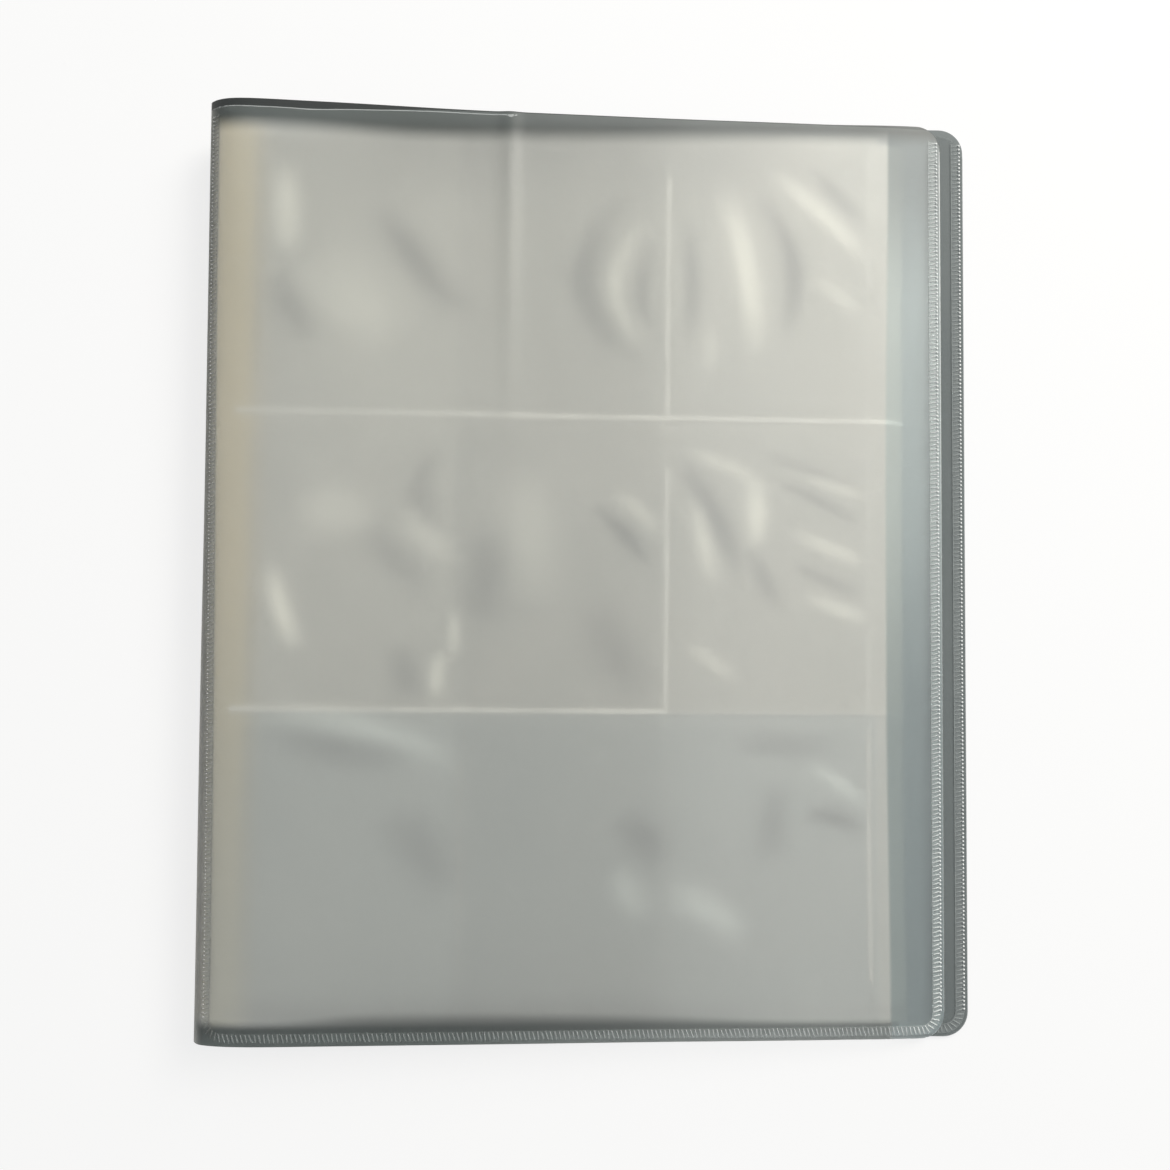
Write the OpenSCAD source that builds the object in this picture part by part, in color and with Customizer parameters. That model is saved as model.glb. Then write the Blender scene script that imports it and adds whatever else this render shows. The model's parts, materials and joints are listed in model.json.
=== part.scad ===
// Trading card album: a soft welded jacket around sixteen nine-pocket leaves.
// It lies closed on its back cover, spine at -X, head of the page at +Y.
// An empty album closes to a wedge: thick at the spine, thin at the fore-edge,
// and its wide spine leans outwards, which draws the front cover back.
// The front cover springs out of its fold, so it arches over the bound edge.

/* [Pockets] */
// Width of one card pocket, seal to seal
pocket_w = 66; // [60:0.5:75]
// Height of one row of pockets, seal to seal
pocket_h = 95; // [88:0.5:105]
// Width of a heat seal between pockets
seal_w = 1.6; // [1:0.1:2.5]
// Height of the open mouth above each pocket strip
mouth_h = 4; // [2:0.5:8]
// Drop from the row's head to the start of a dividing seal, so a thumb fits
divider_drop = 16; // [8:1:24]
// Vent left where two seals would meet
vent = 0.4; // [0.2:0.1:1]

/* [Leaves] */
// Thickness of the pocket and backing film
film_t = 0.06; // [0.05:0.01:0.12]
// Space between the films of an empty pocket
pocket_gap = 0.04; // [0.03:0.01:0.1]
// Plain margin from the binding to the first seal
bind_margin = 13.6; // [10:0.2:18]
// Plain margin outside the last seal
edge_margin = 5.4; // [3:0.2:10]
// Plain margin below the lowest seal
foot_margin = 2; // [1.5:0.5:5]
// Clearance between two leaves where they lie closest, at the fore-edge
leaf_gap = 0.04; // [0.04:0.01:0.1]

/* [Spine] */
// Distance between two leaf hinges along the spine
hinge_pitch = 0.92; // [0.85:0.01:1.2]
// Distance from a fold to the nearest leaf hinge, along the spine
hinge_margin = 1.6; // [1.5:0.1:2.5]
// Angle by which the closed spine leans outwards from upright
spine_lean = 27; // [20:1:32]
// Thickness of the binding strip
strip_t = 0.8; // [0.5:0.1:1]
// Distance from a fold to the edge of the binding strip
strip_margin = 1; // [0.8:0.1:1.4]
// Clearance between the binding strip and the edge of a leaf
edge_gap = 0.06; // [0.05:0.01:0.1]

/* [Covers] */
// Thickness of the outer sheet
sheet_t = 0.35; // [0.2:0.05:0.5]
// Thickness of the liner that makes each cover a sleeve
liner_t = 0.25; // [0.15:0.05:0.4]
// Space inside the sleeve
sleeve_gap = 0.2; // [0.1:0.05:0.4]
// Reach of the covers beyond the width of a leaf
fore_overhang = 21; // [12:1:30]
// Reach of the covers above the leaves
head_overhang = 4; // [2:0.5:10]
// Reach of the covers below the leaves
foot_overhang = 7; // [4:0.5:12]
// Radius of the corners at the fore-edge
corner_r = 8; // [6:0.5:12]
// Distance from a fold to the edge of the liner
liner_inset = 2; // [1.8:0.1:3]
// Drop from the head of a cover to the head of its liner, at the open mouth
liner_drop = 2.2; // [1:0.1:4]
// Height of the arch of the front cover
arch_h = 6.6; // [3:0.1:8]
// Distance from the fold over which the arch rises
arch_rise = 6; // [4:0.5:10]
// Droop of the front cover beyond the edge of the leaves
fore_droop = 1.5; // [0.5:0.1:2]
// Clearance between two panels at a fold
fold_gap = 0.05; // [0.03:0.01:0.1]

/* [Welds] */
// Width of the knurled weld
weld_w = 3; // [2:0.1:4]
// Distance from the cut edge to the weld
weld_inset = 1; // [0.5:0.1:2]
// Distance from the edge of the liner to the weld beside the fold
weld_fold_inset = 0.4; // [0.2:0.1:1]
// Depth to which the weld is pressed into the outer face
weld_press = 0.08; // [0.04:0.01:0.12]
// Distance from the head of the cover to the end of the weld
weld_head = 8; // [4:0.5:15]

/* [Hidden] */
$fn = 64;
cols = 3;
rows = 3;
leaf_count = 16;
arch_steps = 20;
droop_steps = 4;
far = 1000;

// Leaf sizes
leaf_w = bind_margin + cols * pocket_w + edge_margin;
leaf_h = rows * pocket_h + foot_margin;
leaf_t = film_t + pocket_gap + film_t;

// Jacket sizes
cover_w = leaf_w + fore_overhang;
cover_h = leaf_h + head_overhang + foot_overhang;
cover_t = sheet_t + sleeve_gap + liner_t;
spine_w = (leaf_count - 1) * hinge_pitch + 2 * hinge_margin;
leaf_foot = foot_overhang - cover_h / 2;
weld_r = corner_r - weld_inset;

// Fold axes, at half the thickness of the outer sheet
back_fold_x = (spine_w * sin(spine_lean) + sheet_t / 2 - cover_w) / 2;
back_fold_z = sheet_t / 2;
front_fold_x = back_fold_x - spine_w * sin(spine_lean);
front_fold_z = back_fold_z + spine_w * cos(spine_lean);

// Leaf hinge places, leaf 1 next to the front cover
hinge_out = sheet_t / 2 + strip_t + edge_gap;
function hinge_s(leaf) = hinge_margin + (leaf_count - leaf) * hinge_pitch;
function hinge_x(leaf) =
    back_fold_x - hinge_s(leaf) * sin(spine_lean) + hinge_out * cos(spine_lean);
function hinge_z(leaf) =
    back_fold_z + hinge_s(leaf) * cos(spine_lean) + hinge_out * sin(spine_lean);

// Rest slopes: the leaves close up towards the fore-edge
fore_pitch = leaf_t + leaf_gap;
function fore_z(leaf) =
    cover_t + leaf_gap + film_t / 2 + (leaf_count - leaf) * fore_pitch;
function leaf_slope(leaf) = asin((hinge_z(leaf) - fore_z(leaf)) / leaf_w);

// The front cover lies on the uppermost leaf at the fore-edge
stack_top = fore_z(1) + leaf_t - film_t / 2 + leaf_gap;
stack_reach = hinge_x(1) + leaf_w * cos(leaf_slope(1)) - front_fold_x;
front_slope = atan((front_fold_z + sheet_t / 2 - cover_t - stack_top) / stack_reach);

// Distance from a fold axis to the panel's edge, for a fold closed to this angle
function panel_start(angle) = max(sheet_t / 2, sheet_t / 2 / tan(angle / 2)) + fold_gap;
back_start = panel_start(90 + spine_lean);
front_start = panel_start(90 - spine_lean - front_slope);

// The front cover's height above the straight line from its fold to its fore-edge
arch_reach = leaf_w - edge_margin;
droop_start = stack_reach / cos(front_slope) + 1;
function arch(u) =
    arch_h * (1 - exp(-u / arch_rise)) * pow(max(0, 1 - u / arch_reach), 2)
    - fore_droop * pow(max(0, u - droop_start) / (cover_w - droop_start), 2);
function arch_slope(u) = atan((arch(u + 0.01) - arch(u - 0.01)) / 0.02);

// Places along the front cover, closer together beside the fold
arch_places = concat(
    [for (i = [0 : arch_steps]) (droop_start + 1) * pow(i / arch_steps, 1.8) - 1],
    [for (i = [1 : droop_steps]) droop_start + (cover_w + 1 - droop_start) * i / droop_steps]
);
// A point this deep below the middle of the outer sheet, towards the inside
function arch_point(u, depth) =
    [u + depth * sin(arch_slope(u)), depth * cos(arch_slope(u)) - arch(u)];
function reversed(list) = [for (i = [len(list) - 1 : -1 : 0]) list[i]];

// A rectangle with four round corners
module round_rect(x0, x1, y0, y1, r) {
    translate([x0, y0 + r]) square([x1 - x0, y1 - y0 - 2 * r]);
    translate([x0 + r, y0]) square([x1 - x0 - 2 * r, y1 - y0]);
    for (x = [x0 + r, x1 - r], y = [y0 + r, y1 - r])
        translate([x, y]) circle(r);
}

// Outline of a cover panel from its fold edge to the round fore-edge corners
module panel_outline(start) {
    intersection() {
        round_rect(-far, cover_w, -cover_h / 2, cover_h / 2, corner_r);
        translate([start, -far]) square([2 * far, 2 * far]);
    }
}

// Outline of a liner, which stops short of the open mouth
module liner_outline() {
    intersection() {
        panel_outline(liner_inset);
        translate([-far, cover_h / 2 - liner_drop - 2 * far]) square([3 * far, 2 * far]);
    }
}

// The weld runs down the fold side, along the foot and up the fore-edge
module weld_outline() {
    x0 = liner_inset + weld_fold_inset;
    x1 = cover_w - weld_inset;
    y0 = weld_inset - cover_h / 2;
    difference() {
        round_rect(x0, x1, y0, far, weld_r);
        round_rect(x0 + weld_w, x1 - weld_w, y0 + weld_w, far, weld_r - weld_w);
        translate([-far, cover_h / 2 - weld_head]) square([3 * far, far]);
    }
}

// Cover pieces, with the fold axis as Y and the inside of the album upwards
module outer_sheet(start) {
    difference() {
        translate([0, 0, -sheet_t / 2]) linear_extrude(sheet_t) panel_outline(start);
        translate([0, 0, -sheet_t / 2 - far]) linear_extrude(far + weld_press) weld_outline();
    }
}

module weld_layer() {
    translate([0, 0, sheet_t / 2]) linear_extrude(sleeve_gap) weld_outline();
}

module liner() {
    translate([0, 0, sheet_t / 2 + sleeve_gap])
        linear_extrude(liner_t) liner_outline();
}

// A layer of the arched front cover between two depths, cut to an outline
module arched_layer(depth_0, depth_1) {
    side = concat(
        [for (u = arch_places) arch_point(u, depth_0)],
        reversed([for (u = arch_places) arch_point(u, depth_1)])
    );
    intersection() {
        rotate([90, 0, 0]) linear_extrude(2 * far, center = true) polygon(side);
        translate([0, 0, -far]) linear_extrude(2 * far) children();
    }
}

module arched_sheet(start) {
    difference() {
        arched_layer(-sheet_t / 2, sheet_t / 2) panel_outline(start);
        arched_layer(-sheet_t, weld_press - sheet_t / 2) weld_outline();
    }
}

module arched_weld() {
    arched_layer(sheet_t / 2, sheet_t / 2 + sleeve_gap) weld_outline();
}

module arched_liner() {
    arched_layer(sheet_t / 2 + sleeve_gap, cover_t - sheet_t / 2) liner_outline();
}

module on_back_fold() {
    translate([back_fold_x, 0, back_fold_z]) children();
}

module on_front_fold() {
    translate([front_fold_x, 0, front_fold_z])
        rotate([0, front_slope, 0]) mirror([0, 0, 1]) children();
}

module on_spine() {
    on_back_fold() rotate([0, -spine_lean, 0]) children();
}

module on_hinge(leaf) {
    translate([hinge_x(leaf), leaf_foot, hinge_z(leaf)])
        rotate([0, leaf_slope(leaf), 0]) children();
}

module back_cover_sheet() { color("slategray") on_back_fold() outer_sheet(back_start); }
module back_cover_weld() { color("lightslategray") on_back_fold() weld_layer(); }
module back_cover_liner() { color("slategray") on_back_fold() liner(); }
module front_cover_sheet() { color("slategray") on_front_fold() arched_sheet(front_start); }
module front_cover_weld() { color("lightslategray") on_front_fold() arched_weld(); }
module front_cover_liner() { color("slategray") on_front_fold() arched_liner(); }

// The spine panel ends in a half-round bead on each fold axis
module spine_sheet() {
    color("slategray") on_spine() {
        translate([-sheet_t / 2, -cover_h / 2, 0]) cube([sheet_t, cover_h, spine_w]);
        for (z = [0, spine_w])
            translate([0, -cover_h / 2, z]) rotate([-90, 0, 0]) cylinder(d = sheet_t, h = cover_h);
    }
}

module binding_strip() {
    color("tan") on_spine()
        translate([sheet_t / 2, leaf_foot, strip_margin])
            cube([strip_t, leaf_h, spine_w - 2 * strip_margin]);
}

// Leaf pieces: each leaf starts at its hinge on the binding strip
function row_y(row) = foot_margin + row * pocket_h;
function seal_x(col) = bind_margin + col * pocket_w;
strip_reach = seal_w / 2 + vent;

module leaf_backing(leaf) {
    color("gainsboro") on_hinge(leaf)
        translate([0, 0, -film_t / 2]) cube([leaf_w, leaf_h, film_t]);
}

module leaf_pockets(leaf) {
    color("whitesmoke") on_hinge(leaf)
        for (row = [0 : rows - 1])
            translate([bind_margin - strip_reach, row_y(row) - strip_reach, film_t / 2 + pocket_gap])
                cube([cols * pocket_w + 2 * strip_reach, pocket_h - mouth_h, film_t]);
}

module seal(x0, x1, y0, y1) {
    translate([x0, y0, film_t / 2]) cube([x1 - x0, y1 - y0, pocket_gap]);
}

module leaf_seals(leaf) {
    half = seal_w / 2;
    color("white") on_hinge(leaf) {
        for (x = [seal_x(0), seal_x(cols)])
            seal(x - half, x + half, row_y(0) - half, row_y(rows) - mouth_h - strip_reach);
        for (row = [0 : rows - 1]) {
            y = row_y(row);
            seal(seal_x(0) + strip_reach, seal_x(cols) - strip_reach, y - half, y + half);
            for (col = [1 : cols - 1])
                seal(seal_x(col) - half, seal_x(col) + half, y + strip_reach, y + pocket_h - divider_drop);
        }
    }
}

back_cover_sheet();
back_cover_weld();
back_cover_liner();
spine_sheet();
binding_strip();
front_cover_sheet();
front_cover_weld();
front_cover_liner();
for (leaf = [1 : leaf_count]) {
    name = str("leaf_", leaf < 10 ? "0" : "", leaf);
    leaf_backing(leaf);
    leaf_pockets(leaf);
    leaf_seals(leaf);
}
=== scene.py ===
# %% [markdown]
# # A trading card album
# The album is a soft jacket of welded plastic sheet around sixteen nine-pocket leaves.
# Everything in it is thin sheet, so this lesson keeps to one idea: cut each sheet flat, in
# millimetres, as the maker does, and then lay it in place with a short formula.
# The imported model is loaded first. It gives the fold axes, the leaf hinges and the sizes.

# %% Load the frame
import json
import math
import random
import bmesh
import bpy
from mathutils import Euler, Matrix, Vector, noise


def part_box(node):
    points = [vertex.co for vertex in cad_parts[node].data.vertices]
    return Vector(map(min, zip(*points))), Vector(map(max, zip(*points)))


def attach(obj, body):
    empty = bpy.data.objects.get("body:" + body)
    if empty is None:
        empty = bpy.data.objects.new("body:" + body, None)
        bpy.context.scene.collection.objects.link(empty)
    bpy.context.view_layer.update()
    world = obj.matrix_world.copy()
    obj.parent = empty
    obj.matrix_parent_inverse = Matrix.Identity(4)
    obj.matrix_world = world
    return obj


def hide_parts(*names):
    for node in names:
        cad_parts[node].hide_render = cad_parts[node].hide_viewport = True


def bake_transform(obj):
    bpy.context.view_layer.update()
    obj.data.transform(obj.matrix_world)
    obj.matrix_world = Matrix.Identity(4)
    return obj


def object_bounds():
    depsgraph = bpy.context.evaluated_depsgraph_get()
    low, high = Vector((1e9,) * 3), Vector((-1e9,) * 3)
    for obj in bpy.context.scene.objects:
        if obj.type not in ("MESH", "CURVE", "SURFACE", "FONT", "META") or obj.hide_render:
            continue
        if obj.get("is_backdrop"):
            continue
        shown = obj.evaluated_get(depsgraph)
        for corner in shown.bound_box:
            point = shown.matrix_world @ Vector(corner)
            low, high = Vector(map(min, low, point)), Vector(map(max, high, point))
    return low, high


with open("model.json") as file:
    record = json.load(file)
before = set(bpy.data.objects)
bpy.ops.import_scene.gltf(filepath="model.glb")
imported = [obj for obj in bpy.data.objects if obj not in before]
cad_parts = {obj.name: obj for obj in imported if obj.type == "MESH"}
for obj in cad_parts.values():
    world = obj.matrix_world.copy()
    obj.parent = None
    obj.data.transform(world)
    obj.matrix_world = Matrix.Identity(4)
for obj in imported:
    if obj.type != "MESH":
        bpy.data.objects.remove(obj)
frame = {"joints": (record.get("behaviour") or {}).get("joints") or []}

MM = 0.001
cad_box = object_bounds()
joints = {joint["name"]: joint for joint in frame["joints"]}

# %% [markdown]
# ## The camera
# The album lies on a table and is seen from above, a little from its foot.
# A camera's turn could be aimed at a target, but a measured turn keeps the picture's own
# slight tilt, so the three small angles are set as they are.

# %% Camera
IMAGE_SIDE = 1170
FOCAL_PIXELS = 1567.7
EYE = Vector((-11.53, -33.82, 511.89)) * MM
EYE_TURN = (-3.324, 1.085, -0.506)

eye = bpy.data.cameras.new("eye")
eye.sensor_width = 36
eye.lens = eye.sensor_width * FOCAL_PIXELS / IMAGE_SIDE
camera = bpy.data.objects.new("eye", eye)
world_to_eye = Euler([math.radians(angle) for angle in EYE_TURN]).to_matrix()
camera.matrix_world = Matrix.Translation(EYE) @ world_to_eye.transposed().to_4x4()
bpy.context.scene.collection.objects.link(camera)
bpy.context.scene.camera = camera
print("lens", round(eye.lens, 2), "mm")

# %% [markdown]
# ## Sizes from the frame
# A point on a side view needs only X and Z, because every fold runs along Y.
# The fold axes come from the joints, and the outline of the covers and leaves from the
# boxes of their solids, so nothing here repeats a length that the frame already knows.
# Laid open, the two folds have turned by half a circle and by the slope of the closed cover,
# so their ranges give that slope.

# %% Sizes


def axis_of(joint):
    x, _, z = joints[joint]["pos_m"]
    return Vector((x, z)) / MM


def leaf_reach(leaf):
    """How far a leaf reaches from its hinge, and how steeply it comes down to its far edge."""
    pivot = axis_of(f"leaf_{leaf:02d}_turn")
    low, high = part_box(f"leaf_{leaf:02d}_backing")
    drop = pivot.y - (low.z / MM + FILM_T / 2)
    run = high.x / MM - pivot.x
    return math.hypot(run, drop), math.atan2(drop, run)


SHEET_T = 0.35
FILM_T = 0.06

back_fold = axis_of("back_fold")
front_fold = axis_of("front_fold")
spine_w = (front_fold - back_fold).length
along_spine = (front_fold - back_fold) / spine_w
out_of_spine = Vector((-along_spine.y, along_spine.x))
cover_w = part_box("back_cover_sheet")[1].x / MM - back_fold.x
half_turn = sum(joints[fold]["range_deg"][1] for fold in ("back_fold", "front_fold"))
cover_slope = math.radians(half_turn - 180)
cover_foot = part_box("front_cover_sheet")[0].y / MM
cover_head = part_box("front_cover_sheet")[1].y / MM
leaf_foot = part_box("leaf_01_backing")[0].y / MM
leaf_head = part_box("leaf_01_backing")[1].y / MM
leaf_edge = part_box("leaf_01_backing")[1].x / MM
leaf_w, _ = leaf_reach(1)
print("cover", round(cover_w, 2), "x", round(cover_head - cover_foot, 2), "spine", round(spine_w, 2))

# %% [markdown]
# ## Small tools for sheet work
# A sheet starts as one flat face. Its fore-edge corners are rounded with a vertex bevel, and
# planes cut it into a grid, because a face can only bend where it has edges.
# Solidify then gives it its thickness while it is still flat, which keeps the walls even.

# %% Sheet tools
SHARP_ANGLE = 50


def smooth(value):
    """Goes from 0 to 1 with a soft start and a soft end."""
    value = min(1.0, max(0.0, value))
    return value * value * (3 - 2 * value)


def hump(value, start, top, fall, end):
    """Rises from 0 to 1 between start and top, and goes back to 0 between fall and end."""
    return smooth((value - start) / (top - start)) * (1 - smooth((value - fall) / (end - fall)))


def wave(u, y, size_u, size_y, layer):
    """A slow random swell between about -1 and 1. Each layer has its own pattern."""
    return noise.noise(Vector((u / size_u, y / size_y, layer)))


def steps(start, end, size):
    """Evenly spaced places between two ends, both ends left out."""
    count = max(1, round((end - start) / size))
    return [start + (end - start) * i / count for i in range(1, count)]


def flat_sheet(left, right, foot, head, radius=0.0):
    """One face in the XY plane, with its two right-hand corners rounded."""
    bm = bmesh.new()
    bmesh.ops.create_grid(bm, x_segments=1, y_segments=1, size=0.5)
    bmesh.ops.scale(bm, verts=bm.verts, vec=(right - left, head - foot, 1))
    bmesh.ops.translate(bm, verts=bm.verts, vec=((left + right) / 2, (foot + head) / 2, 0))
    if radius:
        corners = [vert for vert in bm.verts if vert.co.x > (left + right) / 2]
        bmesh.ops.bevel(bm, geom=corners, offset=radius, affect="VERTICES", segments=12,
                        profile=0.5, material=-1)
    return bm


def cut_grid(bm, across, up):
    """Cuts a flat mesh along lines of constant X and constant Y."""
    cuts = [((x, 0, 0), (1, 0, 0)) for x in across] + [((0, y, 0), (0, 1, 0)) for y in up]
    for place, direction in cuts:
        everything = bm.verts[:] + bm.edges[:] + bm.faces[:]
        bmesh.ops.bisect_plane(bm, geom=everything, plane_co=place, plane_no=direction)


def thicken(bm, thickness):
    """Gives flat faces a thickness, with the middle of the sheet at Z 0."""
    bmesh.ops.recalc_face_normals(bm, faces=bm.faces)
    bmesh.ops.solidify(bm, geom=bm.faces[:], thickness=thickness)
    middle = (min(v.co.z for v in bm.verts) + max(v.co.z for v in bm.verts)) / 2
    bmesh.ops.translate(bm, verts=bm.verts, vec=(0, 0, -middle))
    bmesh.ops.recalc_face_normals(bm, faces=bm.faces)


def mark(bm, name, value):
    """Stores a value at every point of a flat piece, for its finish to read."""
    layer = bm.verts.layers.float.new(name)
    for vert in bm.verts:
        vert[layer] = value(vert.co.x, vert.co.y)


def lay(bm, place):
    """Moves every point of a flat piece, in millimetres, to its place in the frame, in metres."""
    for vert in bm.verts:
        vert.co = place(*vert.co) * MM


def remember(bm):
    """Stores where every point rests, because a sheet that bends takes its coordinates along."""
    layer = bm.verts.layers.float_vector.new("rest")
    for vert in bm.verts:
        vert[layer] = vert.co


def make_piece(name, bm, material):
    """Turns a finished bmesh into an object, smooth apart from its cut edges."""
    for face in bm.faces:
        face.smooth = True
    mesh = bpy.data.meshes.new(name)
    bm.to_mesh(mesh)
    bm.free()
    mesh.set_sharp_from_angle(angle=math.radians(SHARP_ANGLE))
    mesh.materials.append(material)
    piece = bpy.data.objects.new(name, mesh)
    bpy.context.scene.collection.objects.link(piece)
    print(name, len(mesh.vertices), "points")
    return piece


# %% [markdown]
# ## Shader maths
# A finish is a small tree of nodes. Wiring it by hand hides the idea, so one class wraps a
# socket, and sums written on it add the Math nodes by themselves.

# %% Shader tools


class Wire:
    """A socket of a node tree. Arithmetic on it adds Math nodes."""

    def __init__(self, tree, socket):
        self.tree = tree
        self.socket = socket

    @staticmethod
    def node(tree, kind, settings=None, inputs=None, output=0):
        """Adds a node, sets it up, fills its sockets, and returns one of its outputs."""
        made = tree.nodes.new(kind)
        for name, value in (settings or {}).items():
            setattr(made, name, value)
        for name, value in (inputs or {}).items():
            if isinstance(value, Wire):
                tree.links.new(value.socket, made.inputs[name])
            else:
                made.inputs[name].default_value = value
        return Wire(tree, made.outputs[output])

    def math(self, operation, first, second):
        return Wire.node(self.tree, "ShaderNodeMath", {"operation": operation}, {0: first, 1: second})

    def __add__(self, other):
        return self.math("ADD", self, other)

    def __sub__(self, other):
        return self.math("SUBTRACT", self, other)

    def __rsub__(self, other):
        return self.math("SUBTRACT", other, self)

    def __mul__(self, other):
        return self.math("MULTIPLY", self, other)

    __radd__ = __add__
    __rmul__ = __mul__

    def ramp(self, low, high):
        """0 below low, 1 above high, and a soft step between them."""
        limits = {"Value": self, "From Min": low, "From Max": high}
        return Wire.node(self.tree, "ShaderNodeMapRange", {"interpolation_type": "SMOOTHSTEP"}, limits)

    def step(self, place, half):
        """A soft step from 0 to 1 about a place, so far to either side of it."""
        return self.ramp(place - half, place + half)

    def larger(self, other):
        return self.math("MAXIMUM", self, other)

    def mix(self, first, second):
        """Goes from one colour to another as this value goes from 0 to 1."""
        return Wire.node(self.tree, "ShaderNodeMix", {"data_type": "RGBA"},
                         {0: self, 6: first, 7: second}, output=2)


class Finish:
    """A material with one Principled shader, and the coordinates of the piece it is on.

    A piece that bends at a fold reads the rest places stored on it instead.
    """

    def __init__(self, name, bends=False, **constants):
        self.material = bpy.data.materials.new(name)
        self.material.use_nodes = True
        self.tree = self.material.node_tree
        self.shader = self.tree.nodes["Principled BSDF"]
        if bends:
            self.place = self.add("ShaderNodeAttribute", {"attribute_name": "rest"}, output="Vector")
        else:
            self.place = self.add("ShaderNodeTexCoord", output="Object")
        for socket, value in constants.items():
            self.shader.inputs[socket.replace("_", " ")].default_value = value

    def add(self, kind, settings=None, inputs=None, output=0):
        return Wire.node(self.tree, kind, settings, inputs, output)

    def axis(self, name):
        """One coordinate of the piece, in millimetres."""
        return self.add("ShaderNodeSeparateXYZ", None, {0: self.place}, output=name) * (1 / MM)

    def marked(self, name):
        """A value stored on the piece with mark, or 0 where it has none."""
        return self.add("ShaderNodeAttribute", {"attribute_name": name}, output="Fac")

    def noise(self, grain, detail=2.0, stretch=(1, 1, 1)):
        """Cloudy values about 0.5, with spots of about this size in millimetres."""
        inputs = {"Vector": self.place, "Scale": tuple(part / (grain * MM) for part in stretch)}
        spread = self.add("ShaderNodeMapping", {"vector_type": "POINT"}, inputs)
        return self.add("ShaderNodeTexNoise", None, {"Vector": spread, "Scale": 1.0, "Detail": detail})

    def bump(self, height, depth):
        """Feeds a height, with its depth in millimetres, to the shader's normal."""
        inputs = {"Height": height, "Distance": depth * MM}
        self.link("Normal", self.add("ShaderNodeBump", None, inputs))

    def link(self, socket, wire):
        self.tree.links.new(wire.socket, self.shader.inputs[socket])


# %% [markdown]
# ## The finishes
# The jacket is soft plastic with a frosted grain. Over the pages it reads as clear, so the
# front sheet passes light with a rough refraction, which blurs what lies further below it.
# The back sheet is the same plastic, coloured a smoky blue-grey as painted shade for the shade it is seen
# against.
# The leaf films are thin and whitish: an alpha below one lets the next leaf show through.
# Tints change from place to place, and many of them are painted shade or painted light, so a
# finish reads how far it is across and up the album, in millimetres from the middle. A sheet that
# bends at a fold takes its own coordinates along, so it reads the places where its points rest,
# which are stored on it.

# %% Finishes
LIP_DEEP, LIP_SLIM = 2.5, 1.0
LIP_SOFT = 0.2
EDGE_BULGE = 1.1
HEAD_FADE = 3.4
TAN_FADE = 10, 20
COLUMN_EDGES = -43.5, 22.5
LAST_ROW_TOP = -45.5


def frosted_sheet():
    """Clear over the pages, glossier towards the fore-edge, and coloured past the pages as painted shade."""
    finish = Finish("frosted_sheet", bends=True, IOR=1.45, Transmission_Weight=0.96,
                    Specular_IOR_Level=0.65, Coat_Roughness=0.55, Coat_IOR=1.5)
    cloud = finish.noise(38)
    across = finish.axis("X")
    up = finish.axis("Y")
    clear = cloud.mix((0.92, 0.935, 0.92, 1), (0.95, 0.955, 0.935, 1))
    bulge = EDGE_BULGE * up.ramp(-40, -150) + EDGE_BULGE * up.ramp(30, 140)
    past_edge = (across - bulge).ramp(leaf_edge - 0.4, leaf_edge + 1.2)
    past_fold = across.ramp(front_fold.x - 0.2, front_fold.x + 3.2)
    bow = 2.4 * across.ramp(-100, -65) - 2.8 * across.ramp(-45, 65)
    drop = 1.1 * across.ramp(20, 85)
    past_foot = up.ramp(leaf_foot - 2.3 - drop, leaf_foot + 1.6 + bow - drop)
    dip = 4.8 * across.ramp(-65, 110) - 1.0 * across.ramp(-95, -55)
    past_head = up.step(leaf_head - 4.3 + dip, HEAD_FADE)
    over_pages = past_fold * past_foot.larger(past_edge) * (1 - past_head)
    # Past the pages the colour is painted shade: grey over the spine, and darkest at the foot and the head.
    at_foot = across.ramp(-60, 90).mix((0.09, 0.109, 0.104, 1), (0.36, 0.39, 0.38, 1))
    head_shade = across.ramp(-60, 0).mix((0.112, 0.129, 0.124, 1), (0.155, 0.17, 0.165, 1))
    painted_shade_tint = past_fold.mix((0.24, 0.25, 0.235, 1), up.ramp(-10, 10).mix(at_foot, head_shade))
    # Along the fore-edge strip the colour is painted shade, lighter towards the head as a painted highlight
    # and dark again at its head end.
    strip = up.ramp(-50, 30).mix((0.545, 0.62, 0.635, 1), (0.74, 0.82, 0.825, 1))
    clear_and_strip_shade = past_edge.mix(clear, up.ramp(85, 138).mix(strip, (0.39, 0.44, 0.45, 1)))
    # A near-black band along the foot edge is painted shade.
    foot_lip_shade = (1 - up.ramp(cover_foot + 0.8, cover_foot + 1.5)) * across.ramp(-30, 50)
    tint_and_shade = (0.52 * foot_lip_shade).mix(over_pages.mix(painted_shade_tint, clear_and_strip_shade), (0.08, 0.088, 0.085, 1))
    lip = cover_head - LIP_DEEP + (LIP_DEEP - LIP_SLIM) * across.ramp(-95, -45)
    # Above the lip line of the mouth the sheet is near black, as painted shade.
    rolled = across.ramp(-60, 0).mix((0.02, 0.025, 0.024, 1), (0.06, 0.07, 0.067, 1))
    finish.link("Base Color", up.step(lip, LIP_SOFT).mix(tint_and_shade, rolled))
    haze = 0.4 + 0.6 * across.ramp(5, 45) - 0.40 * up.ramp(20, 120)
    finish.link("Coat Weight", past_edge * 0.75 + (1 - past_edge) * haze)
    finish.link("Roughness", 0.46 + 0.10 * cloud)
    finish.bump(finish.noise(1.1, 3.0), 0.02)
    return finish.material


def shade_painted_sheet():
    # Its smoky blue-grey is painted shade: the same plastic as the front sheet, coloured for the shade
    # behind it.
    finish = Finish("shade_painted_sheet", bends=True, IOR=1.45, Alpha=0.93)
    cloud = finish.noise(30)
    finish.link("Base Color", cloud.mix((0.14, 0.163, 0.168, 1), (0.19, 0.21, 0.212, 1)))
    finish.link("Roughness", 0.30 + 0.16 * cloud)
    finish.bump(finish.noise(0.9, 3.0), 0.02)
    return finish.material


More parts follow.
